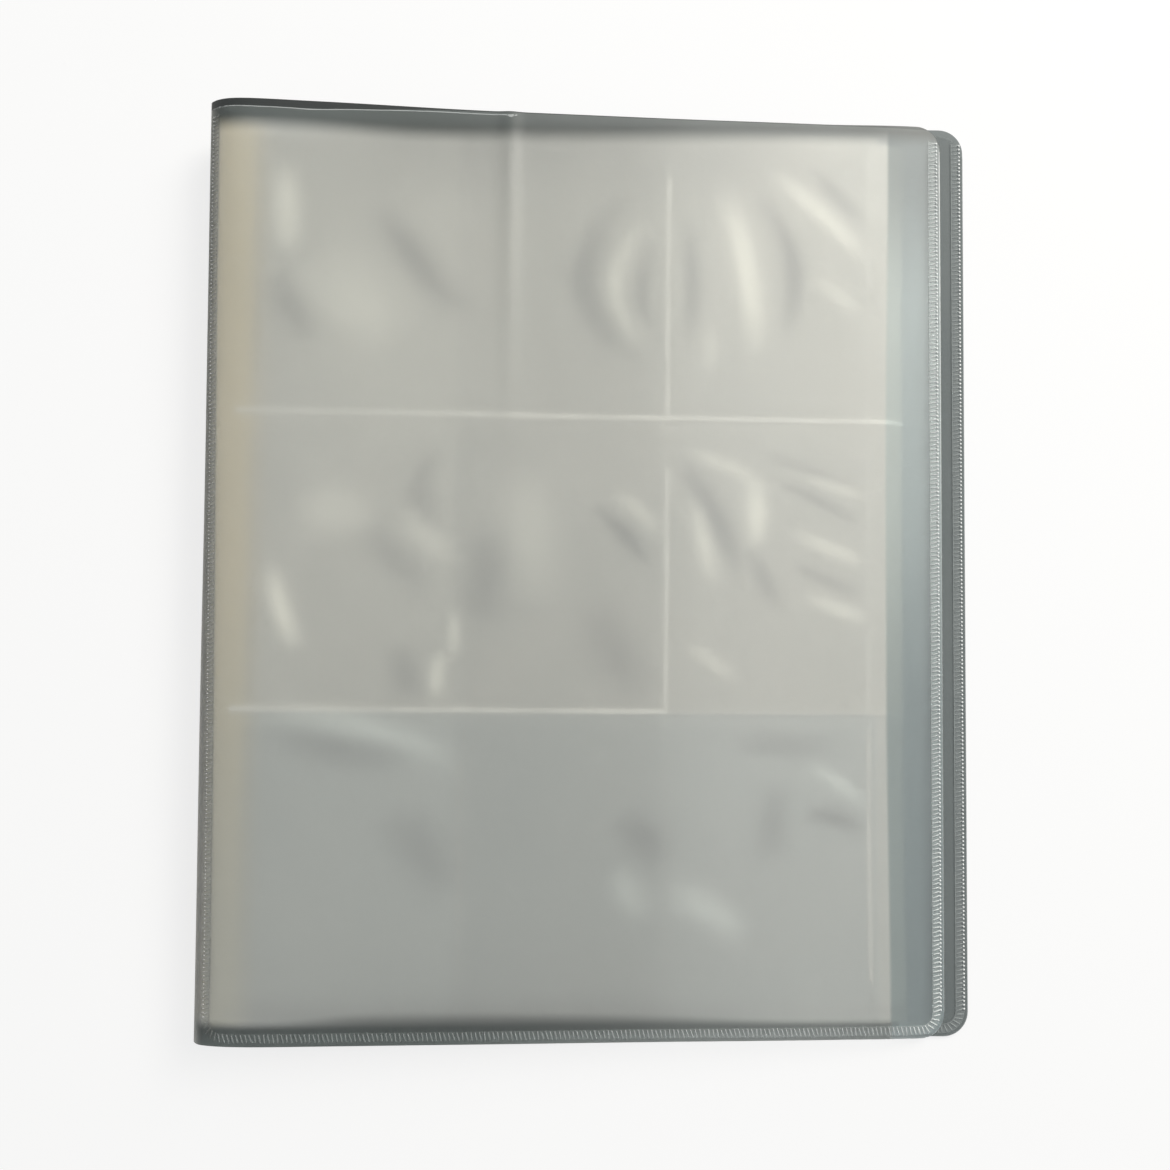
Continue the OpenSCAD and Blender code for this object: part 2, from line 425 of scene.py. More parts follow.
def clear_liner():
    finish = Finish("clear_liner", IOR=1.45, Alpha=0.05)
    cloud = finish.noise(44)
    finish.link("Base Color", cloud.mix((0.72, 0.79, 0.79, 1), (0.82, 0.86, 0.85, 1)))
    finish.link("Roughness", 0.34 + 0.14 * cloud)
    return finish.material


def shade_painted_liner():
    # Its smoky blue-grey is painted shade, as on the back sheet.
    finish = Finish("shade_painted_liner", IOR=1.45, Alpha=0.30)
    cloud = finish.noise(40)
    finish.link("Base Color", cloud.mix((0.21, 0.24, 0.245, 1), (0.27, 0.30, 0.30, 1)))
    finish.link("Roughness", 0.30 + 0.14 * cloud)
    return finish.material


def weld_plastic(name, spine_shade, colour, paler, alpha, quiet=0.0):
    """Darker beside the spine as painted shade, and stronger towards the fore-edge.

    Up the fore-edge the bars went in less deeply, so they are quieter there.
    """
    finish = Finish(name, IOR=1.47)
    cloud = finish.noise(2.2)
    across = finish.axis("X")
    up = finish.axis("Y")
    clear_of_spine_shade = across.ramp(-118, -112)
    # Beside the spine the colour is painted shade.
    finish.link("Base Color", clear_of_spine_shade.mix(spine_shade, cloud.mix(colour, paler)))
    fore_edge = across.ramp(95, 110)
    at_foot = (1 - up.ramp(-140, -90)) * (1 - fore_edge)
    weaker = (1 - 0.45 * at_foot) * (1 - quiet * fore_edge * up.ramp(-140, -50))
    finish.link("Alpha", alpha * (0.5 + 0.5 * across.ramp(-80, 90)) * weaker)
    finish.link("Roughness", 0.16 + 0.16 * cloud)
    finish.bump(finish.noise(0.5), 0.03)
    return finish.material


def page_film(name, alpha, pocket_shading):
    """Whitish film, tanned where the margins gather, with painted highlight and shade on its creases.

    Each pocket bags differently and so catches the light differently: the middle and last column
    and the last row differ in painted shade and light, as strongly as the last argument says.
    Near the head and the foot, and low down on the left, the film is darker as painted shade.
    """
    finish = Finish(name, IOR=1.45, Alpha=alpha)
    across = finish.axis("X")
    up = finish.axis("Y")
    margin = 1 - (across - front_fold.x).ramp(*TAN_FADE)
    mid_column, last_column = [across.step(edge, 1) for edge in COLUMN_EDGES]
    last_row = 1 - up.step(LAST_ROW_TOP, 1)
    right_half = across.ramp(0, 70)
    # The masks below place painted shade near the foot, low down on the left and near the head.
    near_foot = 1 - up.ramp(leaf_foot - 2, leaf_foot + 11)
    low_down = 1 - up.ramp(leaf_foot + 4, leaf_foot + 38)
    near_head = up.ramp(leaf_head - 34, leaf_head - 6)
    mid_head = across.ramp(-85, -60) * (1 - across.ramp(50, 75))
    cloud = finish.noise(26)
    plain = cloud.mix((0.485, 0.475, 0.42, 1), (0.565, 0.552, 0.49, 1))
    # The last row turns bluer and darker as painted shade.
    last_row_shade = (pocket_shading * last_row).mix(plain, (0.40, 0.425, 0.40, 1))
    # The middle column is darker and the last column lighter, as painted shade and painted light.
    column_shading = 0.11 * mid_column - 0.07 * last_column - 0.06 * across.ramp(30, 80)
    # The crease value adds painted highlight on ridges and painted shade in hollows.
    shade = 1 - pocket_shading * column_shading + 1.25 * finish.marked("crease")
    shade = shade - near_head * (0.12 + 0.18 * mid_head) - 0.36 * near_foot * (1 - 0.8 * right_half)
    shade = shade - 0.13 * low_down * (1 - right_half)
    shaded = finish.add("ShaderNodeHueSaturation", None, {"Value": shade, "Color": last_row_shade})
    # The tan grows darker towards the foot as painted shade.
    tan = up.ramp(-140, 20).mix((0.46, 0.44, 0.34, 1), (0.66, 0.565, 0.36, 1))
    finish.link("Base Color", margin.mix(shaded, tan))
    finish.link("Roughness", 0.24 + 0.2 * cloud)
    finish.bump(finish.noise(9.0, 3.0, (1.3, 0.7, 1)), 0.4)
    return finish.material


def fused_film():
    """Whiter than the film. How well it is fused is stored on the piece."""
    finish = Finish("fused_film", IOR=1.45)
    cloud = finish.noise(1.6)
    patches = finish.noise(12)
    finish.link("Base Color", cloud.mix((0.62, 0.605, 0.55, 1), (0.72, 0.705, 0.64, 1)))
    finish.link("Alpha", finish.marked("fused") * (0.35 + 0.5 * patches))
    finish.link("Roughness", 0.22 + 0.2 * cloud)
    finish.bump(finish.noise(0.6), 0.03)
    return finish.material


def edge_highlight_plastic():
    """A painted highlight, bright towards the head and faint towards the foot."""
    finish = Finish("edge_highlight", IOR=1.47)
    speckle = finish.noise(3.0)
    up = finish.axis("Y")
    finish.link("Alpha", 0.15 + 0.45 * up.ramp(0, 100) - 0.2 * up.ramp(135, 140))
    finish.link("Base Color", speckle.mix((0.62, 0.66, 0.66, 1), (0.95, 0.97, 0.97, 1)))
    finish.link("Roughness", 0.2 + 0.2 * speckle)
    return finish.material


def bead_highlight():
    """Thick clear plastic, coloured near white as a painted highlight, less so beside the spine."""
    finish = Finish("bead_highlight", IOR=1.47)
    speckle = finish.noise(3.0)
    finish.link("Alpha", 0.55 + 0.45 * finish.axis("X").ramp(-50, 50))
    finish.link("Base Color", speckle.mix((0.80, 0.83, 0.83, 1), (0.97, 0.98, 0.98, 1)))
    finish.link("Roughness", 0.2 + 0.2 * speckle)
    return finish.material


def binding_plastic():
    finish = Finish("binding_plastic", IOR=1.47)
    grain = finish.noise(1.2, 3.0, (1, 0.05, 1))
    finish.link("Base Color", grain.mix((0.47, 0.40, 0.28, 1), (0.60, 0.52, 0.38, 1)))
    finish.link("Roughness", 0.40 + 0.2 * grain)
    finish.bump(grain, 0.05)
    return finish.material


FROSTED = frosted_sheet()
SHADE_PAINTED_SHEET = shade_painted_sheet()
CLEAR_LINER = clear_liner()
SHADE_PAINTED_LINER = shade_painted_liner()
# The first colour of each weld finish is painted shade beside the spine.
PALE_WELD = weld_plastic("pale_weld", (0.27, 0.275, 0.255, 1),
                         (0.58, 0.63, 0.63, 1), (0.82, 0.86, 0.85, 1), 0.22)
PALE_BAR = weld_plastic("pale_bar", (0.46, 0.465, 0.44, 1),
                        (0.72, 0.77, 0.77, 1), (0.95, 0.97, 0.96, 1), 0.70, 0.35)
# The back weld and its bars are darker than the front ones, as painted shade like the back sheet.
DARK_WELD = weld_plastic("dark_weld", (0.26, 0.265, 0.245, 1),
                         (0.31, 0.34, 0.345, 1), (0.45, 0.485, 0.485, 1), 0.55)
DARK_BAR = weld_plastic("dark_bar", (0.26, 0.265, 0.245, 1),
                        (0.42, 0.46, 0.465, 1), (0.66, 0.70, 0.695, 1), 0.45, 0.2)
EDGE_HIGHLIGHT = edge_highlight_plastic()
BEAD_HIGHLIGHT = bead_highlight()
TOP_PAGE = page_film("top_page_film", 0.34, 1.35)
TOP_POCKET = page_film("top_pocket_film", 0.30, 1.35)
PAGE = page_film("page_film", 0.34, 0.45)
POCKET = page_film("pocket_film", 0.30, 0.45)
SEAL = fused_film()
BINDING = binding_plastic()
print("finishes", len(bpy.data.materials))

# %% [markdown]
# ## How the jacket lies
# The front cover of an empty album does not lie flat. It springs out of the fold, arches over
# the thick bound edge, and comes down to the fore-edge, with one soft crease from the head.
# The spine swells outwards at the foot. A profile in X and Z that changes slowly along Y
# says all of this, and a few samples averaged along it round off the fold itself.

# %% Jacket profile
ARCH_FOOT, ARCH_HEAD = 5.9, 7.4
RISE_FOOT, RISE_HEAD = 9.0, 4.5
ARCH_REACH = 212
REST_LIFT = 0.95
REST_SPAN = 30, 110, 170
DROOP = 1.5
DROOP_START = 213
CREASE_AT = 96
CREASE_FOOT = 2
CREASE_W = 3.0
CREASE_H = 0.65
WAVE_H = 0.35
WAVE_SPAN = 0, 30, 190, 210
SWELL = 4.6
SWELL_INSET = 1.6
HEAD_OUT = 0.8
HEAD_SAG = 0.75
SAG_SPAN = 35, 95, 195, 235
SAG_FOOT = 100
FOLD_ROUND = 0.55
SLOPE_HALF = 0.2

cover_out = Vector((math.sin(cover_slope), math.cos(cover_slope)))
cover_along = Vector((math.cos(cover_slope), -math.sin(cover_slope)))


def share_of_height(y):
    """0 at the foot of the cover, 1 at its head."""
    return smooth((y - cover_foot) / (cover_head - cover_foot))


def arch(u, y):
    """Height of the front cover above the straight line from its fold to its fore-edge."""
    up = share_of_height(y)
    peak = ARCH_FOOT + (ARCH_HEAD - ARCH_FOOT) * up
    rise = RISE_FOOT + (RISE_HEAD - RISE_FOOT) * up
    height = peak * (1 - math.exp(-u / rise)) * max(0.0, 1 - u / ARCH_REACH) ** 2
    height += REST_LIFT * hump(u, *REST_SPAN, cover_w)
    height -= DROOP * max(0.0, (u - DROOP_START) / (cover_w - DROOP_START)) ** 2
    crease = smooth((y - CREASE_FOOT) / (cover_head - CREASE_FOOT))
    height += CREASE_H * crease * math.exp(-(((u - CREASE_AT) / CREASE_W) ** 2))
    return height + WAVE_H * wave(u, y, 60, 80, 3.7) * hump(u, *WAVE_SPAN)


def jacket_line(u, y):
    """The jacket seen from its foot: u runs up the spine below 0, and along the cover above 0.

    The swell is largest a third of the way down the spine. There 27 / 4 makes its curve reach 1.
    """
    at_foot = 1 - share_of_height(y)
    crease = front_fold + Vector((SWELL_INSET * at_foot - HEAD_OUT * (1 - at_foot), 0))
    if u < 0:
        down = min(1.0, -u / spine_w)
        swell = SWELL * (1 - (1 - at_foot) ** 2) * 27 / 4 * down * (1 - down) ** 2
        return crease.lerp(back_fold, down) + out_of_spine * swell
    run = u * (cover_w + front_fold.x - crease.x) / cover_w
    return crease + cover_along * run + cover_out * arch(u, y)


def rounded(line, u, y):
    """The line averaged over a short stretch, which turns a sharp fold into a round one."""
    if abs(u) > 4 * FOLD_ROUND:
        return line(u, y)
    weights = {-2: 1, -1: 4, 0: 6, 1: 4, 2: 1}
    points = [line(u + FOLD_ROUND * shift, y) * weight for shift, weight in weights.items()]
    return sum(points, Vector((0, 0))) / sum(weights.values())


def on_line(line):
    """Makes the place for a flat piece that is bent along a line, lifted off it by its own Z."""
    def place(u, y, lift):
        ahead = rounded(line, u + SLOPE_HALF, y)
        behind = rounded(line, u - SLOPE_HALF, y)
        along = (ahead - behind).normalized()
        at = (ahead + behind) / 2 + Vector((-along.y, along.x)) * lift
        return Vector((at.x, y, at.y))
    return place


def back_line(u, y):
    """The back half of the jacket: flat on the table above 0, and up the spine below 0."""
    if u < 0:
        return jacket_line(-spine_w - u, y)
    return back_fold + Vector((u, 0))


bent_front = on_line(jacket_line)


def on_front(u, y, lift):
    """The front of the jacket. Its head edge sags a little between the spine and the fore-edge."""
    near_head = smooth((y - SAG_FOOT) / (cover_head - SAG_FOOT))
    return bent_front(u, y - HEAD_SAG * hump(u, *SAG_SPAN) * near_head, lift)


on_back = on_line(back_line)
highest = max(arch(u, cover_head) for u in range(60))
print("highest point of the front cover", round(highest, 2), "mm")

# %% [markdown]
# ## The jacket
# On the real album one long sheet makes both covers and the spine. Here it is two pieces,
# because a piece can bend across one joint only: the front one takes the whole spine,
# and the back one turns the lower fold. They meet just above the lower fold.
# The grid is fine where the sheet bends and coarse where it is nearly flat.
# Light that finds its way through frosted sheet by chance makes a picture grainy, so the front
# sheet casts no shadow, and bounced light passes it by.

# %% Jacket
CORNER_R = 8
SPINE_JOIN = 2.6
BLEND_REACH = 1.8
FOLD_ZONE = 14
CREASE_ZONE = CREASE_AT - 6, CREASE_AT + 6
JACKET_STEPS = 0.7, 3, 0.8, 3
BACK_ZONE = 5


def jacket_front():
    start = SPINE_JOIN - spine_w
    bm = flat_sheet(start, cover_w, cover_foot, cover_head, CORNER_R)
    stops = [start, FOLD_ZONE, *CREASE_ZONE, cover_w]
    across = []
    for left, right, size in zip(stops, stops[1:], JACKET_STEPS):
        across += steps(left, right, size)
    cut_grid(bm, across + stops[1:-1], steps(cover_foot, cover_head, 3.6))
    thicken(bm, SHEET_T)
    lay(bm, on_front)
    remember(bm)
    piece = make_piece("jacket_front", bm, FROSTED)
    start_point = on_front(-BLEND_REACH, 0, 0) * MM
    end_point = on_front(BLEND_REACH, 0, 0) * MM
    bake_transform(piece)
    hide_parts("front_cover_sheet", "spine_sheet")
    piece.visible_shadow = False
    piece.visible_diffuse = False


def jacket_back():
    bm = flat_sheet(-SPINE_JOIN, cover_w, cover_foot, cover_head, CORNER_R)
    across = steps(-SPINE_JOIN, BACK_ZONE, 0.5) + steps(BACK_ZONE, cover_w, 12)
    cut_grid(bm, across, steps(cover_foot, cover_head, 8))
    thicken(bm, SHEET_T)
    lay(bm, on_back)
    remember(bm)
    piece = make_piece("jacket_back", bm, SHADE_PAINTED_SHEET)
    start_point = on_back(BLEND_REACH, 0, 0) * MM
    end_point = on_back(-BLEND_REACH, 0, 0) * MM
    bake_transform(piece)
    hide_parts("back_cover_sheet")


jacket_front()
jacket_back()

# %% [markdown]
# ## The liners
# A second, thinner sheet inside each cover makes it a sleeve. The weld holds it on three
# sides, so near the open head the arched front sheet stands off it, and the mouth gapes.

# %% Liners
LINER_T = 0.25
SLEEVE_GAP = 0.2
LINER_INSET = 2
LINER_SHORT = 2.2
LINER_ZONE = 20
GAPE_SHARE = 0.72
GAPE_SPAN = 6, 22, 70, 120
GAPE_FOOT = 80
liner_depth = SHEET_T / 2 + SLEEVE_GAP + LINER_T / 2


def gape(u, y):
    """How far the front liner stays below the arched sheet near the open mouth."""
    near_mouth = smooth((y - GAPE_FOOT) / (cover_head - GAPE_FOOT))
    return GAPE_SHARE * arch(u, y) * near_mouth * hump(u, *GAPE_SPAN)


def on_front_liner(u, y, lift):
    return on_front(u, y, lift - liner_depth - gape(u, y))


def on_back_liner(u, y, lift):
    return on_back(u, y, lift + liner_depth)


def liner(name, node, body, place, head, material, spacing):
    bm = flat_sheet(LINER_INSET, cover_w, cover_foot, head, CORNER_R)
    across = steps(LINER_INSET, LINER_ZONE, 1.5) + steps(LINER_ZONE, cover_w, spacing)
    cut_grid(bm, across, steps(cover_foot, head, spacing))
    thicken(bm, LINER_T)
    lay(bm, place)
    piece = make_piece(name, bm, material)
    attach(piece, body)
    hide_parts(node)


liner("front_liner", "front_cover_liner", "front_cover", on_front_liner,
      cover_head - LINER_SHORT, CLEAR_LINER, 4)
liner("back_liner", "back_cover_liner", "back_cover", on_back_liner,
      cover_head - LINER_SHORT, SHADE_PAINTED_LINER, 10)

# %% [markdown]
# ## The welds
# A heated tool presses the two sheets of a cover together along three sides. It leaves a
# band with a fine ridge at its inner border, slanted cross bars, and a row of beads along
# their outer ends, at a pitch of its own. The band and the ridge come from insetting one
# rounded face, as a die is cut. The bars are little cubes set along the same path, and one
# bevel rounds them all.

# %% Welds
WELD_W = 3.0
WELD_INSET = 1.0
WELD_FOLD = 0.6
WELD_HEAD = 4.8
WELD_R = 7.0
RIDGE_W = 0.25
BAR_PITCH = 1.4
BAR_W = 0.42
BAR_L = 2.6
BAR_SLANT = 14
SLANT_SPREAD = 7
BAR_ROUND = 0.14
BAR_PROUD = 0.02
BEAD_PITCH = 1.25
BEAD_SUNK = 0.05
FRONT_LEVELS = -0.45, 0.32
BACK_LEVELS = -0.10, 0.74
DOWN_FORE_EDGE, UP_FOLD = -90, 90
BEADS = {DOWN_FORE_EDGE: (WELD_W / 2 - 0.25, 0.38), UP_FOLD: (-0.5, 0.2)}
weld_right = cover_w - WELD_INSET
weld_foot = cover_foot + WELD_INSET
weld_top = cover_head - WELD_HEAD


def weld_ring(inset, width, thickness, lift):
    """A U-shaped strip, so far in from the weld's outer border, cut off below the open head."""
    bm = bmesh.new()
    bmesh.ops.create_grid(bm, x_segments=1, y_segments=1, size=0.5)
    above = cover_head + WELD_HEAD
    size = (weld_right - WELD_FOLD - 2 * inset, above - weld_foot - 2 * inset, 1)
    bmesh.ops.scale(bm, verts=bm.verts, vec=size)
    bmesh.ops.translate(bm, verts=bm.verts,
                        vec=((weld_right + WELD_FOLD) / 2, (above + weld_foot) / 2, 0))
    low = [vert for vert in bm.verts if vert.co.y < 0]
    bmesh.ops.bevel(bm, geom=low, offset=WELD_R - inset, affect="VERTICES", segments=10,
                    profile=0.5, material=-1)
    middle = bm.faces[:]
    bmesh.ops.inset_region(bm, faces=middle, thickness=width, use_boundary=True,
                           use_even_offset=True)
    bmesh.ops.delete(bm, geom=middle, context="FACES")
    everything = bm.verts[:] + bm.edges[:] + bm.faces[:]
    bmesh.ops.bisect_plane(bm, geom=everything, plane_co=(0, weld_top, 0), plane_no=(0, 1, 0),
                           clear_outer=True)
    cut_grid(bm, steps(WELD_FOLD, weld_right, 4), steps(weld_foot, weld_top, 4))
    thicken(bm, thickness)
    bmesh.ops.translate(bm, verts=bm.verts, vec=(0, 0, lift))
    return bm


def weld_path(pitch):
    """Places along the middle of the weld, with the direction in which the weld runs there."""
    radius = WELD_R - WELD_W / 2
    left, right = WELD_FOLD + WELD_W / 2, weld_right - WELD_W / 2
    foot = weld_foot + WELD_W / 2
    side = weld_top - foot - radius
    bottom = right - left - 2 * radius
    bend = radius * math.pi / 2
    total = 2 * side + 2 * bend + bottom
    count = round(total / pitch)
    for i in range(count):
        s = (i + 0.5) * total / count
        if s < side:
            yield right, weld_top - s, DOWN_FORE_EDGE
        elif s < side + bend:
            turn = (s - side) / radius
            yield (right - radius + radius * math.cos(turn), foot + radius - radius * math.sin(turn),
                   DOWN_FORE_EDGE - math.degrees(turn))
        elif s < side + bend + bottom:
            yield right - radius - (s - side - bend), foot, 180
        elif s < total - side:
            turn = (s - side - bend - bottom) / radius
            yield (left + radius - radius * math.sin(turn), foot + radius - radius * math.cos(turn),
                   180 - math.degrees(turn))
        else:
            yield left, foot + radius + (s - (total - side)), UP_FOLD


def join(target, source):
    """Adds one bmesh to another through a mesh that is then thrown away."""
    carrier = bpy.data.meshes.new("carrier")
    source.to_mesh(carrier)
    source.free()
    target.from_mesh(carrier)
    bpy.data.meshes.remove(carrier)


def weld_bars(name, body, place, material, seed, low, high):
    """The slanted bars, each a little out of line, and a little prouder than the ridge."""
    draw = random.Random(seed)
    high += BAR_PROUD
    bars = bmesh.new()
    for u, y, heading in weld_path(BAR_PITCH):
        slant = BAR_SLANT + draw.uniform(-SLANT_SPREAD, SLANT_SPREAD)
        turn = Matrix.Rotation(math.radians(heading + 90 + slant), 4, "Z")
        size = Matrix.Diagonal((BAR_L * draw.uniform(0.9, 1.05), BAR_W, high - low, 1))
        at = Matrix.Translation((u, y, (low + high) / 2))
        bmesh.ops.create_cube(bars, size=1, matrix=at @ turn @ size)
    bmesh.ops.bevel(bars, geom=bars.edges[:], offset=BAR_ROUND, affect="EDGES", segments=1,
                    profile=0.5, material=-1)
    lay(bars, place)
    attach(make_piece(name, bars, material), body)


def weld_beads(name, body, place, high):
    """The beads on the two sides, whose brightness is a painted highlight: large at the fore-edge and small
    at the fold.
    """
    bm = bmesh.new()
    for u, y, heading in weld_path(BEAD_PITCH):
        if heading in BEADS:
            aside, radius = BEADS[heading]
            at = Matrix.Translation((u + aside, y, high - BEAD_SUNK))
            bmesh.ops.create_icosphere(bm, subdivisions=1, radius=radius, matrix=at)
    lay(bm, place)
    piece = make_piece(name, bm, BEAD_HIGHLIGHT)
    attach(piece, body)


def weld(name, node, body, place, material, low, high):
    bm = weld_ring(0.0, WELD_W, SLEEVE_GAP, (low + high) / 2)
    join(bm, weld_ring(WELD_W - RIDGE_W, RIDGE_W, high - low, (low + high) / 2))
    lay(bm, place)
    piece = make_piece(name, bm, material)
    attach(piece, body)
    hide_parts(node)


weld("front_weld", "front_cover_weld", "front_cover", on_front, PALE_WELD, *FRONT_LEVELS)
weld("back_weld", "back_cover_weld", "back_cover", on_back, DARK_WELD, *BACK_LEVELS)
weld_bars("front_bars", "front_cover", on_front, PALE_BAR, 11, *FRONT_LEVELS)
weld_bars("back_bars", "back_cover", on_back, DARK_BAR, 12, *BACK_LEVELS)
weld_beads("front_beads", "front_cover", on_front, FRONT_LEVELS[1])
weld_beads("back_beads", "back_cover", on_back, BACK_LEVELS[1])

# %% [markdown]
# ## The cut edges
# The cut edge of clear sheet is bright, and a rolled lip catches the light too. Two slim strips,
# along the fore-edge of the front cover and along the lip of its mouth, show that better than a
# change of colour would, as painted highlights that are stronger towards the head. The line on
# the lip widens to a painted glint where the crease meets the head.

# %% Cut edges
EDGE_W = 0.4
EDGE_PROUD = 0.02
EDGE_EXTRA_T = 0.06
LIP_LINE = 1.5, 98
LIP_LINE_W = 0.28
LIP_LINE_T = 0.08
LIP_SLIMS = 27, 77
GLINT = 2.4
GLINT_W = 0.9


def edge_highlight(name, left, right, foot, head, thickness, place):
    bm = flat_sheet(left, right, foot, head)
    cut_grid(bm, steps(left, right, 2), steps(foot, head, 4))
    thicken(bm, thickness)
    lay(bm, place)
    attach(make_piece(name, bm, EDGE_HIGHLIGHT), "front_cover")


def on_lip(u, v, lift):
    """Along the rolled lip of the mouth, which is deep beside the spine and slim further on."""
    start, end = LIP_SLIMS
    slim = smooth((u - start) / (end - start))
    waver = 0.12 * math.sin(u / 7) + 0.08 * math.sin(u / 3.1)
    y = cover_head - LIP_DEEP + (LIP_DEEP - LIP_SLIM) * slim + waver * (1 - slim)
    # The line widens into a painted glint at the crease.
    glint = 1 + GLINT * math.exp(-(((u - CREASE_AT) / GLINT_W) ** 2))
    return on_front(u, y + v * glint, lift + SHEET_T / 2)


# Both strips, at the mouth and along the fore-edge, are painted highlights.
edge_highlight("mouth_highlight", *LIP_LINE, -LIP_LINE_W, 0, LIP_LINE_T, on_lip)
edge_highlight("fore_edge", cover_w - EDGE_W, cover_w + EDGE_PROUD, cover_foot + CORNER_R,
            cover_head - CORNER_R, SHEET_T + EDGE_EXTRA_T, on_front)

# %% [markdown]
# ## The leaves
# A leaf is a backing film, three pocket strips welded over it, and the heat seals between.
# Thin film never lies quite flat: the whole stack shares one slow wave, so the leaves nest,
# and the uppermost leaf has crinkles of its own, drawn as short ridges on its surface.
# Each is a place, a direction, a half length, a half width, a bend and a strength, which is
# below 0 for a hollow. The list goes from pocket to pocket. Its creases were picked out,
# their places on the leaf were worked out with the camera above, and some were then adjusted.
# The same value feeds the film's colour, as painted highlight on the ridges and painted shade in the
# hollows.

# %% Leaf surface
LEAF_COUNT = 16
CREASES = [
    # top row, middle and last pockets
    (133, 96, -89, 29, 4.6, -14.9, -0.36), (139, 93, -88, 22, 2.9, -11.0, 0.50),
    (141, 93, -90, 15, 2.2, -4.3, -0.30), (151, 95, -89, 22, 2.6, 2.6, -0.40),
    (169, 98, -78, 29, 4.2, 2.3, 0.75), (178, 100, -79, 25, 3.5, 8.9, -0.60),
    (201, 124, -46, 15, 2.2, 0.6, -0.45), (195, 118, -42, 22, 2.6, 0.8, 0.70),
    (158, 73, -90, 8, 2.6, 1.6, 0.30), (201, 91, -34, 11, 2.6, 0.7, 0.35),
    # middle row, last pocket
    (165, 33, -23, 15, 2.2, 1.4, 0.50), (173, 19, -87, 12, 3.8, 1.9, 0.80),
    (159, 18, -61, 23, 3.2, 2.1, -0.50), (158, 10, -78, 16, 2.9, -0.6, 0.55),
    (178, -2, -63, 12, 2.9, -0.7, -0.35), (200, 28, -19, 12, 1.6, 0.4, 0.40),
    (196, 22, -26, 16, 1.9, 1.3, -0.40), (199, 8, -22, 13, 2.2, 0.0, 0.60),
    (198, -2, -22, 13, 1.9, -0.2, -0.35), (201, -12, -20, 12, 2.2, 0.5, 0.50),
    (193, 34, -17, 17, 1.6, -0.7, -0.30), (160, -29, -34, 11, 2.2, 0.1, 0.40),
    # middle row, middle pocket
    (136, 18, -44, 11, 2.2, 1.2, 0.45), (131, 12, -45, 14, 2.6, 0.6, -0.45),
    (101, 11, -83, 24, 9.0, 0.3, 0.31), (88, -2, 86, 18, 6.5, 0.2, -0.28),
    (130, -25, -63, 20, 8.0, -1.4, -0.28),
    # middle row, first pocket
    (23, -13, -72, 15, 3.2, -0.6, 0.86), (39, 18, -3, 14, 8.0, 0.5, 0.35),
    (72, 25, -89, 14, 4.0, -6.4, -0.31), (69, 10, -41, 13, 4.0, -0.6, 0.31),
    (78, -21, -86, 8, 1.8, -0.3, 0.57), (73, -34, 85, 8, 2.2, 1.0, 0.63),
    (62, -34, -75, 11, 5.0, 0.0, -0.31), (58, 3, -44, 16, 5.0, 0.0, -0.25),
    # top row, first pocket
    (22, 116, -86, 16, 4.0, 0.0, 0.63), (64, 100, -52, 24, 5.0, -0.4, -0.42),
    (44, 87, -36, 22, 12.0, -0.6, 0.39), (24, 84, -58, 14, 5.0, 0.0, -0.35),
    # bottom row, first pocket
    (48, -55, -14, 34, 4.0, 4.4, 0.56), (41, -56, -10, 24, 5.0, -1.7, -0.31),
    (66, -91, -56, 18, 8.0, 3.0, -0.31),
    # bottom row, middle pocket
    (138, -86, -50, 12, 6.0, 0.6, -0.35), (134, -103, -60, 10, 5.0, -0.4, 0.39),
    # bottom row, last pocket
    (159, -109, -29, 16, 5.0, 0.5, 0.56), (180, -81, 85, 15, 5.0, 0.0, -0.35),
    (201, -69, -34, 13, 2.4, 1.2, 0.57), (200, -81, -13, 11, 3.0, 2.2, -0.49),
    (184, -56, -3, 18, 4.0, 0.2, -0.31),
    # two broad, very shallow swells, which mostly lighten the film as painted light
    (58, 62, 0, 38, 18.0, 0.0, 0.10), (178, -68, 0, 30, 16.0, 0.0, 0.07),
]
CREASE_DEPTH = 0.45
STACK_WAVE = 0.40
STACK_WAVE_START = 14
ROOM_BELOW, ROOM_ABOVE = 0.40, 2.95
ROOM_ENDS = 220
LEAF_BULGE = 0.005
LEAVES_AT_FOLD = 2
ROOT_ROOM = 3.2
ROOT_REACH = 8


def creased(u, y):
    """How strongly the uppermost leaf is creased here: above 0 on a ridge, below 0 in a hollow."""
    total = 0.0
    for at_u, at_y, direction, half_length, half_width, bend, amount in CREASES:
        reach = half_length + 3 * half_width + abs(bend)
        if abs(u - at_u) > reach or abs(y - at_y) > reach:
            continue
        turn = math.radians(direction)
        along = (u - at_u) * math.cos(turn) + (y - at_y) * math.sin(turn)
        if abs(along) < half_length:
            taper = 1 - (along / half_length) ** 2
            aside = (y - at_y) * math.cos(turn) - (u - at_u) * math.sin(turn) - bend * taper
            total += amount * taper * math.exp(-((aside / half_width) ** 2))
    return total


def between(u, height):
    """A crinkle kept clear of the leaf below and the liner above, which both close in on it."""
    room = (ROOM_ABOVE if height > 0 else ROOM_BELOW) * (1 - u / ROOM_ENDS)
    return room * math.tanh(height / room)


